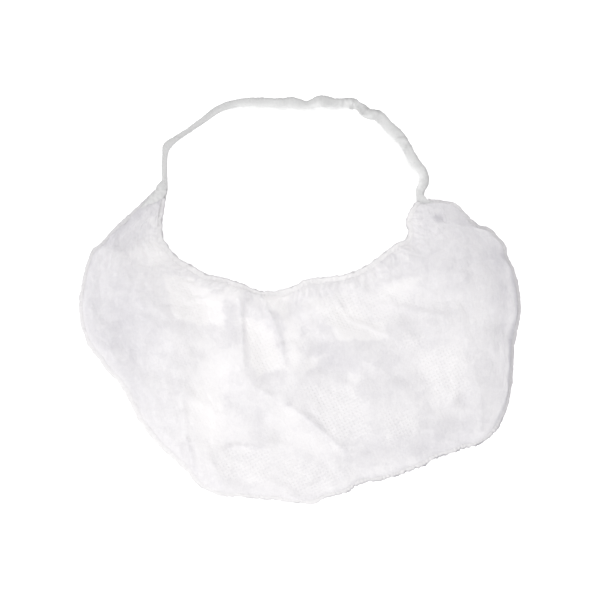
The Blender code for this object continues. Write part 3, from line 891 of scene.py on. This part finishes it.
class Finish:
    """A material that is put together from nodes."""

    def __init__(self, name):
        self.material = bpy.data.materials.new(name)
        self.material.use_nodes = True
        self.tree = self.material.node_tree
        self.tree.nodes.clear()

    def node(self, kind, values, **settings):
        """A node of a type, with its settings set first and then its sockets' values or links."""
        node = self.tree.nodes.new("ShaderNode" + kind)
        for name, value in settings.items():
            setattr(node, name, value)
        for name, value in values.items():
            value = value.socket if isinstance(value, Number) else value
            if isinstance(value, bpy.types.NodeSocket):
                self.tree.links.new(value, node.inputs[name])
            else:
                node.inputs[name].default_value = value
        return node

    def vector(self, kind, values, output=0, **settings):
        """One of a node's outputs as a plain socket, for a place, a colour or a shader."""
        return self.node(kind, values, **settings).outputs[output]

    def number(self, kind, values, output=0, **settings):
        """One of a node's outputs as a number for sums."""
        return Number(self, self.vector(kind, values, output, **settings))

    def blend(self, first, second, share):
        """A colour between two, by a share."""
        return self.vector("Mix", {0: share, 6: first, 7: second}, output=2, data_type="RGBA")

    def noise(self, place, size, detail=2.0, distortion=0.0):
        """Noise about a half whose lumps have a size in metres."""
        values = {"Vector": place, "Scale": 1 / size, "Detail": detail, "Distortion": distortion}
        return self.number("TexNoise", values)

    def fibres(self, place, size):
        """A web of fine fibres: 1 where noise crosses its middle, falling to either side."""
        return 1 - abs(self.noise(place, size, 2.0, 2.5) * 2 - 1)

    def attribute(self, name):
        """A value that the piece has at each of its points."""
        return self.number("Attribute", {}, output="Fac", attribute_name=name)

    def place(self):
        """The place on the piece's own cloth, in metres."""
        return self.vector("UVMap", {}, uv_map="cloth")

    def facets(self, place, size):
        """A random number from 0 to 1 for each of some uneven facets of about a size in metres."""
        warp = self.vector("TexNoise", {"Vector": place, "Scale": 0.9 / size}, output=1)
        values = {0: warp, 1: (0.6 * size, 0.6 * size, 0), 2: place}
        swayed = self.vector("VectorMath", values, operation="MULTIPLY_ADD")
        cell = {"Vector": swayed, "Scale": 1 / size}
        middle = self.vector("TexVoronoi", cell, output="Position", distance="MANHATTAN")
        return self.number("TexWhiteNoise", {"Vector": middle}, output="Value")

    def bump(self, height, distance):
        """The normal of a relief with a height from 0 to 1 over a distance in metres."""
        return self.vector("Bump", {"Height": height, "Distance": distance, "Strength": 1})

    def cloth(self, colour, roughness, normal, share, backlit, alpha=None):
        """Ends in thin cloth: a dull sheet with a faint sheen that lets a constant share of the light
        that reaches its back through to its face, in one plain colour."""
        values = {"Base Color": colour, "Roughness": roughness, "Normal": normal}
        values |= {"Sheen Weight": 0.12, "Sheen Roughness": 0.4, "Specular IOR Level": 0.35}
        if alpha is not None:
            values["Alpha"] = alpha
        face = self.vector("BsdfPrincipled", values)
        back = self.vector("BsdfTranslucent", {"Color": backlit, "Normal": normal})
        both = self.vector("MixShader", {0: share, 1: face, 2: back})
        self.node("OutputMaterial", {"Surface": both})
        return self.material


# Colours of cloth, trims and tape at the dark end of their tone, where they are densest and most in
# painted shade, at the light end, where they are thinnest and most in painted light, and where light comes
# through them, the shares of it that do, and the pitch of the embossed dots
DENSE_SHADED_WHITE = (0.250, 0.243, 0.300, 1)
DENSE_SHADED_TRIM = (0.250, 0.243, 0.268, 1)
THIN_LIT_WHITE = (0.965, 0.950, 0.950, 1)
DENSE_SHADED_TAPE = (0.250, 0.250, 0.250, 1)
THIN_LIT_TAPE = (0.955, 0.955, 0.955, 1)
BACKLIT_CLOTH = (0.790, 0.776, 0.788, 1)
BACKLIT_TRIM = (0.745, 0.732, 0.741, 1)
BACKLIT_TAPE = (0.600, 0.600, 0.600, 1)
CLOTH_SHARE = 0.22
TRIM_SHARE = 0.15
DOT_PITCH = 0.0034


def cloth_finish(name, turn):
    """Spunbond cloth: cloudy, with a web of fibres and a staggered lattice of small embossed dots, which
    show where the cloth's own attribute says so."""
    f = Finish(name)
    place, tone = f.place(), f.attribute("tone")
    amount = f.attribute("dots")
    clouds = f.noise(place, 0.009, 4.0)
    mottle = f.noise(place, 0.0022, 3.0)
    fibres = f.fibres(place, 0.0011)
    drawn = f.vector("Mapping", {"Vector": place, "Scale": (1, 0.22, 1)})
    streaks = f.noise(drawn, 0.0014, 2.0, 0.8)
    broad, small = f.facets(place, 0.011), f.facets(place, 0.0042)
    rotation = (0, 0, math.radians(turn))
    turned = f.vector("Mapping", {"Vector": place, "Rotation": rotation})
    xyz = f.node("SeparateXYZ", {"Vector": turned})
    waves = [(Number(f, xyz.outputs[axis]) * (2 * math.pi / DOT_PITCH)).cosine() for axis in (0, 1)]
    dots = (waves[0] * waves[1]).between(0.15, 0.75)
    worn = amount * mottle.between(0.35, 0.6)
    tone = tone + (clouds - 0.5) * 0.08 + (mottle - 0.5) * 0.11 + (fibres - 0.7) * 0.09
    tone = tone + (streaks - 0.5) * 0.12 + (broad - 0.5) * 0.065 + (small - 0.5) * 0.05
    tone = tone + worn * (0.03 - dots * 0.07)
    # The tone attribute holds the cloth's density together with painted light and painted shade.
    colour = f.blend(DENSE_SHADED_WHITE, THIN_LIT_WHITE, tone)
    relief = f.bump(fibres * 0.35 + mottle * 0.6 - dots * (0.2 + amount * 0.6), 0.00018)
    alpha = 0.97 - tone.between(0.78, 1.08) * 0.12
    return f.cloth(colour, 0.5 + mottle * 0.25, relief, CLOTH_SHARE, BACKLIT_CLOTH, alpha)


def hem_finish(name):
    """Gathered double cloth and welded cloth, by its own tone, which holds painted light and shade, with a
    web of fibres.
    """
    f = Finish(name)
    place, tone = f.place(), f.attribute("tone")
    mottle = f.noise(place, 0.0016, 3.0)
    fibres = f.fibres(place, 0.0007)
    tone = tone + (mottle - 0.5) * 0.19 + (fibres - 0.7) * 0.09
    colour = f.blend(DENSE_SHADED_TRIM, THIN_LIT_WHITE, tone)
    relief = f.bump(mottle + fibres * 0.5, 0.00015)
    return f.cloth(colour, 0.5 + mottle * 0.25, relief, TRIM_SHARE, BACKLIT_TRIM)


def strap_finish(name):
    """Folded cloth tape over elastic: fine gathers across it and a web of fibres."""
    f = Finish(name)
    place, tone = f.place(), f.attribute("tone")
    stretched = f.vector("Mapping", {"Vector": place, "Scale": (1, 0.35, 1)})
    gathers = f.noise(stretched, 0.0009, 2.0)
    mottle = f.noise(place, 0.002, 3.0)
    tone = tone + (gathers - 0.5) * 0.07 + (mottle - 0.5) * 0.07
    # The tone attribute holds the tape's density together with painted light and painted shade.
    colour = f.blend(DENSE_SHADED_TAPE, THIN_LIT_TAPE, tone)
    relief = f.bump(gathers + mottle * 0.4, 0.0002)
    return f.cloth(colour, 0.55 + mottle * 0.2, relief, TRIM_SHARE, BACKLIT_TAPE)


def cloth_sheet(name, upper, seed, finish):
    """A layer of the pouch: its shape settles, gets smooth curves through its points and a fine crumple,
    and knows its tone, which holds painted light and shade as well as the cloth's density, and where its
    dots show."""
    rim, _, end, s = crescent(SETTLE_STEPS)
    v = np.linspace(0, 1, SETTLE_ACROSS + 1)
    inside = rim + aside(rim) * HEM_WIDTH * 0.55
    outside = end + aside(end) * SEAM_WIDTH * 0.5
    plan = inside[:, None] + (outside - inside)[:, None] * v[:, None]
    grid = (upper_cloth if upper else lower_cloth)(plan, s)
    from_hem, from_seam = spans(plan)
    spare = 0.35 + (0.65 if upper else 0.3) * np.exp(-from_hem / HEM_SPARE_REACH)
    spare += 0.3 * np.exp(-from_seam / SEAM_SPARE_REACH)
    spare *= ease(from_hem[:, -1:] / FULL_WIDTH)
    moved = settle(grid, np.clip(spare, 0, 1), seed) - grid
    plan = finer(plan)
    points = finer(grid + smoothed(moved))
    x, y = plan[..., 0], plan[..., 1]
    from_hem, from_seam = spans(plan)
    inner = ease(np.minimum(from_hem, from_seam) / EDGE_REACH)
    points[..., 2] += inner * CRUMPLE_SHARE * crumple(x, y, seed)
    least = 0.0006 + 0.0012 * ease(from_seam / EDGE_REACH) if upper else 0.0003
    points[..., 2] = np.maximum(points[..., 2], least)
    # The ovals' tone is partly thinner and denser cloth and partly painted light and painted shade.
    more, dots = oval_fields(plan)
    if upper:
        facets, dotted = facet_fields(plan)
        # The facets add painted light with thinner cloth, and painted shade where their amount is below 0;
        # the creases add painted shade lines.
        more += facets - CREASE_SHADE * crease_field(plan, "dark")
        dots += dotted
    tone = CLOTH_TONE + TONE_DEPTH * more
    t = trim_tones(len(plan))
    # Near the seam the cloth takes the seam's tone, with its painted shade.
    tone += (t["seam"] - tone) * ease(1.2 - 1000 * from_seam / t["margin"])
    # Painted light and shade in streaks across the gathers near the hem.
    skew = length_along(plan[:, 0]) + 0.003 * noise(x, y, 0.009, seed + 2)
    gathers = noise(skew, from_hem * 0.22, 0.0017, seed + 1)
    tone += GATHER_SHADING * gathers * ease(1 - from_hem / GATHER_REACH)
    dots = np.clip(PLAIN_DOTS + dots, 0, 1)
    faces = grid_faces(*points.shape[:2])
    faces = faces if upper else faces[:, ::-1]
    return add_mesh(name, points, [faces], finish, uv=plan, tone=tone, dots=dots)


def trim_tones(count):
    """The trims' tones by name, at each of some places along the net's outline."""
    at = np.linspace(0, len(SECTIONS) - 1, count)
    t = columns(TRIM_COLUMNS, TRIMS)
    return {name: np.interp(at, t["at"], t[name])[:, None] for name in t}


def hem(name, upper, seed, finish):
    """A gathered hem: a flat loop of cloth carried along the rim. Its height and its outline swell and
    pinch along the rim with the gathers, whose swells get painted light. It is darkest at the rim, where
    the elastic runs and the rolled edge gets painted shade, and slightly darker where it is stitched."""
    rim, _, _, s = crescent(HEM_STEPS)
    far = length_along(rim)
    across, up = loop(HEM_SIDES, 0.7)
    skew = far + 0.0012 * noise(far / 0.006, across * 2, 1.0, seed)
    gather = 0.6 * noise(skew, across * 0.003, 0.0019, seed)
    gather = gather + 0.5 * noise(skew, across * 0.004, 0.0046, seed + 1)
    loose = 0.3 + 0.7 * np.sqrt(s["gape"])[:, None]
    plump = HEM_THICKNESS / 2 * (0.82 + 0.5 * gather * loose)
    z = hem_base(s, upper)[:, None] + HEM_THICKNESS / 2 + plump * up
    jagged = 0.0006 * gather * loose + 0.0008 * noise(far, 0.0, 0.0043, seed + 2)
    out = HEM_WIDTH * across + jagged * (1 - across)
    t = trim_tones(len(rim))
    # Painted light on the gathers' swells, a line at the rim where the elastic runs with painted shade
    # over it, and a slightly darker stitched line.
    line = bell(across / 0.09) * (0.75 + 0.6 * gather)
    stitched = bell((across - 0.93) / 0.07) * (0.7 + 0.8 * gather)
    tone = t["hem"] + 0.11 * gather + (t["rim"] - t["hem"]) * line - 0.07 * stitched
    return add_tube(name, rim, out, z, across * HEM_WIDTH * side_of(up), finish, tone)


def seam(name, finish):
    """The welded seam: a thin flat band carried round the outer edge, with crimps across it, the cosine
    of the way along, painted light and shade on the crimps, and a ragged outer edge with a painted shade
    line that is darkest where it is crimped most."""
    _, _, end, s = crescent(SEAM_STEPS)
    far = length_along(end)
    across, up = loop(SEAM_SIDES, 1.0)
    crimp = np.cos(2 * math.pi * (far / CRIMP_PITCH + 0.8 * noise(far, 0.0, 0.007, 3)))
    crimp = crimp * ease(0.5 + 0.9 * noise(far, 0.0, 0.009, 4))
    ragged = 0.6 * noise(far, 0.0, 0.0021, 8) + noise(far, 0.0, 0.0062, 9)
    t = trim_tones(len(end))
    ragged = ragged * (0.12 + 0.30 * t["crimp"])
    wide = SEAM_WIDTH + t["fringe"] / 1000
    out = CLEARANCE + wide * across * (0.9 + ragged) + 0.0005 * t["crimp"] * crimp * across
    rise = 0.0004 * noise(far, across * 0.003, 0.004, 12)
    thick = SEAM_THICKNESS / 2 * (1 + 0.35 * crimp) * (1 - 0.75 * across)
    z = SEAM_CURL * s["curl"][:, None] + 0.0009 - 0.0005 * across + rise + thick * up
    # Painted light and shade on the crimps, and a painted shade line along the ragged outer edge.
    line = bell((1 - across) / 0.26) * (0.9 + 0.9 * noise(far, across * 0.002, 0.0034, 14))
    tone = t["seam"] + t["crimp"] * (0.15 * crimp - line) + 0.05 * t["fringe"] * across**2
    return add_tube(name, end, out, z, across * SEAM_WIDTH * side_of(up), finish, tone)


def strap_path(steps):
    """The strap's line in plan with its columns, from the left corner round to the right one."""
    rim, _, _, _ = crescent(COARSE_STEPS)
    rows = np.array(STRAP, float)
    rows[:, 0] = rows[:, 0] * MOUTH_WIDTH / 2 + ORIGIN[0]
    rows[:, 1] = rows[:, 1] * STRAP_RISE + ORIGIN[1]
    at_hem = HEM_WIDTH / STRAP_WIDTH
    beside = aside(rim)
    first = rim[0] + beside[0] * HEM_WIDTH / 2
    final = rim[-1] + beside[-1] * HEM_WIDTH / 2
    rows = [(*first, at_hem, 0, rows[0, 4], 0), *rows, (*final, at_hem, 0, rows[-1, 4], 0)]
    s = columns(STRAP_COLUMNS, through(rows, steps))
    s = {key: value[:, None] for key, value in s.items()}
    s["lift"], s["fold"] = np.clip(s["lift"], 0, None), np.clip(s["fold"], 0, 1)
    return np.hstack([s["across"], s["rise"]]), s


def turn_light_and_shade(plan):
    """The painted highlights and painted shade, lines and spots, at the strap's turns: each fades with the
    square of the distance from the nearest of its pieces."""
    change = np.zeros(plan.shape[:2])
    for *places, wide, amount in TURN_LIGHT_AND_SHADE:
        stops = np.array(places, float).reshape(-1, 2) / 1000
        far = np.full(change.shape, 1.0)
        for first, last in zip(stops[:-1], stops[1:]):
            run = last - first
            share = np.clip(((plan - first) @ run) / (run @ run), 0, 1)
            far = np.minimum(far, np.linalg.norm(plan - first - share[..., None] * run, axis=2))
        change += amount * bell(far * 1000 / wide)
    return change


def strap(name, finish):
    """The strap: a flattened tube of cloth carried along its line and turned about it, with gathers
    and creases across it, ridges along it and uneven edges. Its tone holds painted light and shade:
    painted shade along its outer edge, along its inner edge where no fold shows and in its creases,
    painted light on its gathers and ridges and on its inner half beside its fold, and painted highlights
    and shade at its turns. It is darker towards its left end and a little lighter towards its right end."""
    path, s = strap_path(STRAP_STEPS)
    far = length_along(path)
    across, up = loop(STRAP_SIDES, 0.75)
    level = across - 0.5
    turn = np.radians(s["turn"])
    edge = 1 + 0.10 * noise(far, level * 0.01, 0.004, 21) + 0.06 * noise(far, 0.0, 0.0016, 22)
    wide = STRAP_WIDTH * s["width"]
    gathers = noise(far + 0.0008 * level, level * 0.004, 0.0014, 23)
    ridges = noise(far * 0.4, level * 0.012, 0.0045, 24)
    row = np.arange(len(path))[:, None] / STRAP_STEPS
    deep, dark = np.zeros_like(ridges), np.zeros_like(ridges)
    for g in named_rows(GROOVE_COLUMNS, GROOVES):
        share = bell((row - 1 - g["at"] - g["slant"] * level) / g["wide"])
        deep += g["deep"] * share
        dark += g["dark"] * share
    thick = STRAP_THICKNESS / 2 * (0.9 + 0.22 * gathers + 0.5 * ridges) * (1 - deep)
    tall = np.abs(wide * np.sin(turn)) + STRAP_THICKNESS * np.cos(turn)
    middle = tall / 2 + STRAP_LIFT * s["lift"] + TABLE_GAP
    out = level * wide * edge * np.cos(turn) - up * thick * np.sin(turn)
    z = middle + level * wide * np.sin(turn) + up * thick * np.cos(turn)
    # Painted shade along the outer edge, along the inner edge where no fold shows and in the creases;
    # painted light on the gathers, the ridges and the inner half beside the fold.
    outer_edge_shade = bell((level + 0.5) / 0.19)
    inner_edge_shade = bell((level - 0.5) / 0.08) * (1 - s["fold"])
    left, right = ease((10 - row) / 4), ease((row - 18) / 3)
    tone = 0.52 - 0.08 * left + 0.04 * right + 0.02 * gathers + 0.05 * ridges
    tone = tone - (0.22 - 0.10 * left) * outer_edge_shade - 0.09 * inner_edge_shade
    tone = tone + (0.17 - 0.05 * right) * s["fold"] * ease((level + 0.1) / 0.6) - dark
    # Painted highlights and painted shade where the strap turns over.
    tone = tone + turn_light_and_shade(carried(path, out, z)[..., :2])
    return add_tube(name, path, out, z, across * wide * side_of(up), finish, tone)


def strap_ends(name, finish):
    """The cloth gathered onto the strap's ends: at either corner in turn, a flattened crumpled tube
    through stops with a place, a share of END_WIDTH and a share of END_HEIGHT."""
    _, start, end, _ = crescent(COARSE_STEPS)
    path, _ = strap_path(COARSE_STEPS)
    across, up = loop(END_SIDES, 0.8)
    root = (end[0] + start[0]) / 2
    between = (root + path[4]) / 2
    left = ((*end[2], 0.5, 1), (*root, 1.4, 1.1), (*between, 1.3, 1), (*path[4], 0.6, 0.3))
    right = ((*end[-2], 0.3, 1), (*end[-1], 0.7, 1), (*path[-3], 0.9, 0.7), (*path[-5], 0.5, 0.2))
    pieces = []
    for side, seed, stops in (("left", 71, left), ("right", 72, right)):
        line = through(stops, END_STEPS)
        path, width, height = line[:, :2], line[:, 2:3], line[:, 3:]
        far = length_along(path)
        wide = END_WIDTH * width * (1 + 0.2 * noise(far, across * 0.002, 0.0025, seed))
        crumpled = noise(far, across * 0.006, 0.0016, seed + 2)
        z = END_HEIGHT * height + up * END_THICKNESS * width * (1 + 0.35 * crumpled)
        out = wide * (across - 0.5)
        # Painted light on the crumples' swells, and darker along the tube's left-hand edge.
        tone = 0.57 + 0.08 * crumpled - 0.16 * bell(across / 0.2)
        pieces.append(add_tube(f"{name}_{side}", path, out, z, across * END_WIDTH, finish, tone))
    return pieces


def strap_fold(name, finish):
    """The tape's inner fold, a thin loop that shows beside the strap on its inner side. It leans from
    the strap's underside down to the table, and is painted in shade under the strap, lighter the further
    it reaches out."""
    path, s = strap_path(FLAP_STEPS)
    far = length_along(path)
    across, up = loop(FLAP_SIDES, 0.8)
    wide = STRAP_WIDTH * s["width"] / 2
    flap = FLAP_WIDTH * s["fold"] * (1 + 0.15 * noise(far, 0.0, 0.006, 31))
    out = wide * 0.3 + (wide * 0.6 + flap) * across
    ripple = 0.0005 * noise(far, across * 0.002, 0.0035, 32) * across
    turn = np.sin(np.radians(s["turn"]))
    inside = wide * (np.abs(turn) + 0.3 * turn) + 0.3 * STRAP_THICKNESS + STRAP_LIFT * s["lift"]
    z = inside * (1 - across) + 0.0005 + ripple + 0.0002 * up
    # Painted shade under the strap, lighter the further the fold reaches out.
    tone = 0.62 + 0.05 * noise(far, across * 0.002, 0.003, 33) + 0.36 * across
    return add_tube(name, path, out, z, across * FLAP_WIDTH, finish, tone)


def put(name, data, place):
    """A lamp or a camera, as an object at a place in the scene."""
    holder = bpy.data.objects.new(name, data)
    holder.location = place
    bpy.context.scene.collection.objects.link(holder)
    return holder


def studio():
    """A white table without end under even light, with a broad lamp at the lower left, and a camera
    straight above that takes in the photograph's width of the table. The table glows faintly, so that
    it stays as white in the net's soft shade as it is in the photograph."""
    scene = bpy.context.scene
    scene.view_settings.view_transform = "Standard"
    world = bpy.data.worlds.new("studio")
    world.use_nodes = True
    sky = world.node_tree.nodes["Background"].inputs
    sky["Color"].default_value = (1, 1, 1, 1)
    sky["Strength"].default_value = SKY
    scene.world = world
    lamp = bpy.data.lights.new("window", "SUN")
    lamp.energy = WINDOW
    lamp.angle = math.radians(WINDOW_ANGLE)
    window = put("window", lamp, WINDOW_PLACE)
    window.rotation_euler = (-window.location).to_track_quat("-Z", "Y").to_euler()

    f = Finish("white_table")
    values = {"Base Color": (0.97, 0.97, 0.97, 1), "Roughness": 1.0, "Specular IOR Level": 0.0}
    values |= {"Emission Color": (1, 1, 1, 1), "Emission Strength": TABLE_GLOW}
    f.node("OutputMaterial", {"Surface": f.vector("BsdfPrincipled", values)})
    corners = TABLE_REACH * np.array([(-1, -1, 0), (1, -1, 0), (1, 1, 0), (-1, 1, 0)])
    add_mesh("table", corners, [np.array([[0, 1, 2, 3]])], f.material)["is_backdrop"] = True

    camera = bpy.data.cameras.new("camera")
    camera.lens = LENS
    camera.sensor_width = SENSOR
    scene.camera = put("camera", camera, (PHOTO_ASIDE, PHOTO_UP, PHOTO_WIDTH * LENS / SENSOR))


def build():
    """Makes every piece, each in place of the model's solid and on its only body."""
    lower = cloth_sheet("lower_layer", False, 11, cloth_finish("back_cloth", -31))
    upper = cloth_sheet("upper_layer", True, 7, cloth_finish("front_cloth", 18))
    tape = strap_finish("strap_cloth")
    ends = strap_ends("strap_end", tape)
    pieces = (
        ("front_panel", "front_cloth", upper),
        ("back_panel", "back_cloth", lower),
        ("front_hem", "front_hem_cloth", hem("upper_hem", True, 41, hem_finish("front_hem_cloth"))),
        ("back_hem", "back_hem_cloth", hem("lower_hem", False, 51, hem_finish("back_hem_cloth"))),
        ("edge_seam", "welded_seam", seam("outer_seam", hem_finish("welded_seam"))),
        ("head_strap", "strap_cloth", strap("strap", tape), strap_fold("strap_fold", tape), *ends),
    )
    for node, slot, *made in pieces:
        for piece in made:
            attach(piece, "root")
            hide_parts(node)


build()
studio()
boxes = {"cad": cad_box, "visual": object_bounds()}
{name: [list(corner) for corner in box] for name, box in boxes.items()}
